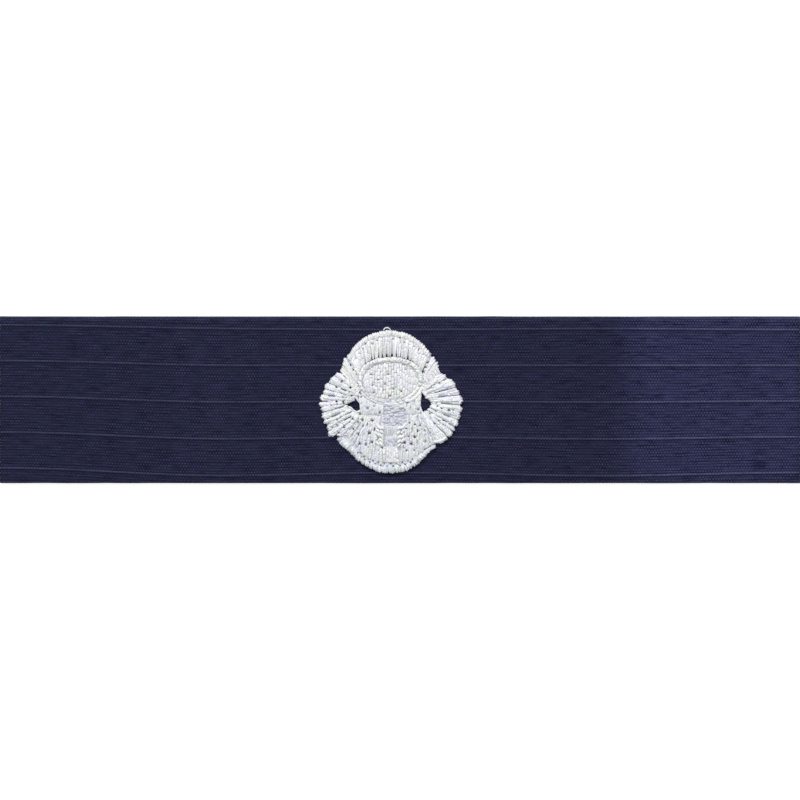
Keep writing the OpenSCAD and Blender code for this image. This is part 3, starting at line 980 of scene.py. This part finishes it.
def hose(name, node, rows, lobes, tint, seed):
    """A fan of lobes, each a few stitches round a ridge, with a valley on either side."""
    f = Field(seed)
    ends = np.array([0] + [lobe[0] for lobe in lobes])
    u = np.linspace(ends[0], ends[-1], 14 * len(ends))
    ribs = np.sin(np.pi * (np.interp(u, ends, np.arange(len(ends))) % 1))[:, None] ** 0.7
    f.pad(rows_at(rows, u), lambda share: 0.32 + 0.32 * ribs + (0.2 + 0.3 * ribs) * relief(share, 0, 1),
          (-0.1, 0.35))
    for low, (high, inward, outward) in zip(ends, lobes):
        span = rows_at(rows, [low, high])
        count = max(3, round(np.linalg.norm(span[1, 2:] - span[0, 2:]) / PITCH))
        t = even(count)
        lines = rows_at(rows, mix(low, high, 0.1 + 0.8 * t))
        rib = np.sin(np.pi * t) ** 0.7
        # Every second line starts further out, which keeps the inner ends from crowding
        start = np.where(np.arange(count) % 2, 1.5, -inward) + f.rng.uniform(-0.2, 0.2, count)
        end = lengths(lines) + outward - 0.5 * (1 - rib)
        for k in range(count):
            steps = max(1, round((end[k] - start[k]) / HOSE_STITCH))
            marks = (np.arange(steps + 1) + f.rng.uniform(-0.25, 0.25, steps + 1)) / steps
            marks[0], marks[-1] = 0, 1
            marks = mix(start[k], end[k], marks) / lengths(lines[k:k + 1])
            line = np.repeat(lines[k:k + 1], steps, axis=0)
            plan, share = along(line, marks[:-1] - 0.02, marks[1:] + 0.02)
            level = 0.5 + 0.13 * rib[k] + (0.29 + 0.23 * rib[k]) * relief(share, 0, 1)
            inner, outer = np.full((2, steps, 1), 0.3)
            inner[0], outer[-1] = 0.25, SUNK
            f.lay(plan, level, tint, dips=(inner, outer))
        # The last stitch turns round the lobe's end, in a whiter tint that is a painted highlight
        t = np.linspace(0.06, 0.94, 18)
        edge = rows_at(rows, mix(low, high, t))
        past = outward - EDGE_IN - 0.5 * (1 - np.sin(np.pi * t) ** 0.7)
        turned = edge[:, 2:] + unit(edge[:, 2:] - edge[:, :2]) * past[:, None]
        f.lay(turned[None], np.full((1, len(t)), 0.84), PAINTED_HIGHLIGHT_WHITE, 0.46, (0.45, 0.45), 0.03)
    return f.piece(name, "white_thread", node)


def tiers(f, rows, count, stitch, tint=WHITE, crown=0.28, ends=(0.35, 0.35), shake=0.05, width=THREAD_W):
    """Staggered stitches that fill the lines of a table from end to end."""
    lines = field_lines(rows, even(count) * 1.04 - 0.02)
    long = lengths(lines)
    for k in range(count):
        steps = max(1, round(long[k] / stitch))
        marks = (np.arange(1, steps) + (k * 0.37) % 1 - 0.5 + f.rng.uniform(-0.1, 0.1, steps - 1)) / steps
        over = f.rng.uniform(0, 2 * OVERLAP, 2) / long[k]
        marks = np.concatenate(([-over[0]], marks, [1 + over[1]]))
        line = np.repeat(lines[k:k + 1], steps, axis=0)
        plan, share = along(line, marks[:-1], marks[1:] + 0.05 / long[k])
        f.lay(plan, relief(share, 0.5, crown), tint, width, ends, shake)


def cheek(name, node, rows, edge, crossings, seed):
    f = Field(seed)
    lines = field_lines(rows, np.linspace(-0.03, 1.0, 30))
    f.pad(lines, lambda share: relief(share, 0.60, 0.28), (-0.1, -0.1))
    width = np.linalg.norm(np.array(rows[-1][:2]) - rows[0][:2])
    tiers(f, rows, round(width / 0.5), 1.5, PLAIN, shake=0.035)
    # Stitches along the opening's edge
    curve = rows_at(edge, np.linspace(0, len(edge) - 1, 60))
    plan = np.stack([curve[start:start + 16] for start in range(0, 45, 11)])
    f.lay(plan, np.full(plan.shape[:2], 0.62), JAW_WHITE, 0.44, (0.3, 0.3), 0.03)
    plan, share = along(np.array(crossings))
    f.lay(plan, relief(share, 0.6, 0.2), dips=(0.4, 0.4))
    return f.piece(name, "white_thread", node)


def mouthpiece():
    f = Field(61)
    lines = field_lines(MOUTHPIECE, np.linspace(-0.08, 1.03, 26))
    f.pad(lines, lambda share: relief(share, 0.54, 0.26), (-0.1, -0.1), MOUTH_GROOVE)
    tiers(f, MOUTHPIECE, 9, 0.95, MOUTH, 0.36, (0.45, 0.45), 0.09)
    return f.piece("mouthpiece_stitches", "shaded_thread", "mouthpiece")


def ladder(f, x, reach, places):
    """Pairs of short slanted stitches one under the other, between x and x + reach."""
    y = np.array(places)
    for start, lift in ((0.0, 0.42), (0.5, 0.25)):
        near = x + start * reach + 0 * y
        lines = np.stack((near, y + lift, near + 0.6 * reach, y + lift - 0.8), axis=1)
        plan, share = along(lines)
        f.lay(plan, relief(share, 0.74, 0.28), PAINTED_HIGHLIGHT_WHITE, 0.5, (0.35, 0.35), 0.06, 0.08)


def mouth_stem():
    f = Field(62)
    lines = field_lines(MOUTH_STEM, np.linspace(-0.01, 1.01, 46))
    f.pad(lines, lambda share: relief(share, 0.60, 0.28), (-0.1, -0.1))
    top, waist, hip, low = -4.45, -6.7, -8.55, -11.5
    tiers(f, ((-1.25, top, -1.25, waist), (1.15, top, 1.15, waist)), 6, 1.9, GREYED, shake=0.03, width=0.5)
    tiers(f, ((-1.25, waist, -1.2, hip), (1.75, waist, 1.5, hip)), 6, 1.1, LAVENDER, shake=0.06)
    tiers(f, ((-1.3, hip, -1.5, low), (1.15, hip, 1.5, low)), 6, 1.0, WARM, 0.35, shake=0.07)
    for x, reach, places in LADDERS:
        ladder(f, x, reach, places)
    return f.piece("mouth_stem_stitches", "shaded_thread", "mouth_stem")


def jaw(name, node, rows, seed, count):
    f = Field(seed, 1.15)
    lines = field_lines(rows, np.linspace(-0.03, 1.03, 60))
    f.pad(lines, lambda share: relief(share, 0.5, 0.28), (-0.1, -0.1))
    tiers(f, rows, count, 2.1, JAW_WHITE, shake=0.08, ends=(0.15, 0.15), width=0.48)
    return f.piece(name, "white_thread", node)


def chin_rim():
    f = Field(81)
    f.pad(field_lines(CHIN_RIM, np.linspace(0, 1, 160)), lambda share: relief(share, 0.5, 0.5), (-0.1, 0.25))
    plan, share = along(field_lines(CHIN_RIM, even(56)), -0.1, 0.42)
    f.lay(plan, relief(share, 0.5, 0.3), CHIN_INNER, dips=(0.2, 0.5), tone=0.08)
    # The outer row leans
    lines = field_lines(CHIN_RIM, mix(0.014, 0.994, even(60)))
    lines[:, :2] = field_lines(CHIN_RIM, mix(0.0, 0.98, even(60)))[:, :2]
    plan, share = along(lines, 0.36, 0.97)
    f.lay(plan, relief(share, 0.55, 0.45), CHIN_OUTER, 0.52, (0.42, SUNK), 0.06, 0.12)
    return f.piece("chin_rim_stitches", "white_thread", "chin_rim")


def thread_loop():
    """The small loose loop that stands proud of the top of the hood."""
    f = Field(91)
    turn = np.linspace(0, np.pi, 24)
    path = np.stack((LOOP_MIDDLE[0] - LOOP_HALF_W * np.cos(turn), LOOP_MIDDLE[1] + LOOP_H * np.sin(turn),
                     FACE_Z + LOOP_FOOT + LOOP_RISE * np.sin(turn)), axis=1)
    path[:, :2] += DEVICE
    f.tubes(path[None], LOOP_THICK, LOOP_THICK, PLAIN)
    return f.piece("thread_loop", "white_thread")


def bobbin_stitches():
    """The thread under the cloth, which shows between the two hems."""
    f = Field(95)
    runs = np.concatenate(Field.runs)[::2]
    clear = HALF_WIDTH - HEM_W - BOBBIN_CLEAR
    middle = (runs[:, :2] + runs[:, 2:]) / 2 + DEVICE
    runs = runs[(np.abs(middle[:, 1]) < clear) & (lengths(runs) > BOBBIN_LEAST)]
    plan, _ = along(runs, 0.12, 0.88)
    plan[..., 1] = np.clip(plan[..., 1] + DEVICE[1], -clear, clear) - DEVICE[1]
    under = FACE_Z - CLOTH_T
    arch = np.sin(np.pi * np.linspace(0, 1, plan.shape[1])) ** 0.5
    z = np.broadcast_to(under + BOBBIN_T / 2 - BOBBIN_SAG * arch, plan.shape[:2])
    shade = 1 + f.rng.normal(0, 0.05, (len(plan), 1, 1))
    f.tubes(np.concatenate((plan + DEVICE, z[..., None]), axis=2), BOBBIN_W, BOBBIN_T, GREYED * shade)
    return f.piece("bobbin_stitches", "white_thread")


def device():
    hood_band()
    hood_side_left()
    hood_side_right()
    mask_rim()
    mask_lens()
    hose("hose_left_stitches", "hose_left", HOSE_LEFT, LOBES_LEFT, ROPE_LEFT, 51)
    hose("hose_right_stitches", "hose_right", HOSE_RIGHT, LOBES_RIGHT, ROPE_RIGHT, 52)
    cheek("cheek_left_stitches", "cheek_left", CHEEK_LEFT, OPENING_LEFT, CROSSINGS_LEFT, 55)
    cheek("cheek_right_stitches", "cheek_right", CHEEK_RIGHT, OPENING_RIGHT, CROSSINGS_RIGHT, 56)
    mouthpiece()
    mouth_stem()
    jaw("jaw_left_stitches", "jaw_left", JAW_LEFT, 71, 12)
    jaw("jaw_right_stitches", "jaw_right", JAW_RIGHT, 72, 11)
    chin_rim()
    thread_loop()
    bobbin_stitches()


# The stage

PHOTO_SIDE = 800
PX = 31.75 / 166.9
PHOTO_MIDDLE_Y = -0.05
CAMERA_HEIGHT = 900.0
FLOOR_SIZE = 6.0
FLOOR_DROP = 0.00002
WORLD_LIGHT = 0.5
# Lights: name, place, size and power
LIGHTS = (
    ("key", (-0.22, 0.85, 0.75), (0.5, 0.3), 11.5),
    ("fill", (0.5, -0.6, 0.9), (0.8, 0.8), 3.0),
)


def stage():
    bpy.ops.mesh.primitive_plane_add(size=FLOOR_SIZE, location=(0, 0, -FLOOR_DROP))
    floor = bpy.context.object
    floor.name = "floor"
    floor.data.materials.append(floor_material())


def area_light(name, place, size, power):
    data = bpy.data.lights.new(name, "AREA")
    data.shape = "RECTANGLE"
    data.size, data.size_y = size
    data.energy = power
    lamp = bpy.data.objects.new(name, data)
    bpy.context.collection.objects.link(lamp)
    lamp.location = place
    aim = -np.array(place)
    lamp.rotation_euler = (math.atan2(np.hypot(aim[0], aim[1]), -aim[2]), 0,
                           math.atan2(aim[1], aim[0]) - math.pi / 2)


def light():
    for row in LIGHTS:
        area_light(*row)
    world = bpy.data.worlds.new("studio")
    world.use_nodes = True
    world.node_tree.nodes["Background"].inputs[0].default_value = (1, 1, 1, 1)
    world.node_tree.nodes["Background"].inputs[1].default_value = WORLD_LIGHT
    bpy.context.scene.world = world
    bpy.context.scene.view_settings.view_transform = "Standard"


def camera():
    data = bpy.data.cameras.new("camera")
    data.sensor_width = 36.0
    data.lens = data.sensor_width * CAMERA_HEIGHT / (PHOTO_SIDE * PX)
    eye = bpy.data.objects.new("camera", data)
    bpy.context.collection.objects.link(eye)
    eye.location = (0, PHOTO_MIDDLE_Y * MM, (FACE_Z + CAMERA_HEIGHT) * MM)
    bpy.context.scene.camera = eye


stage()
cloth_strip()
device()
light()
camera()
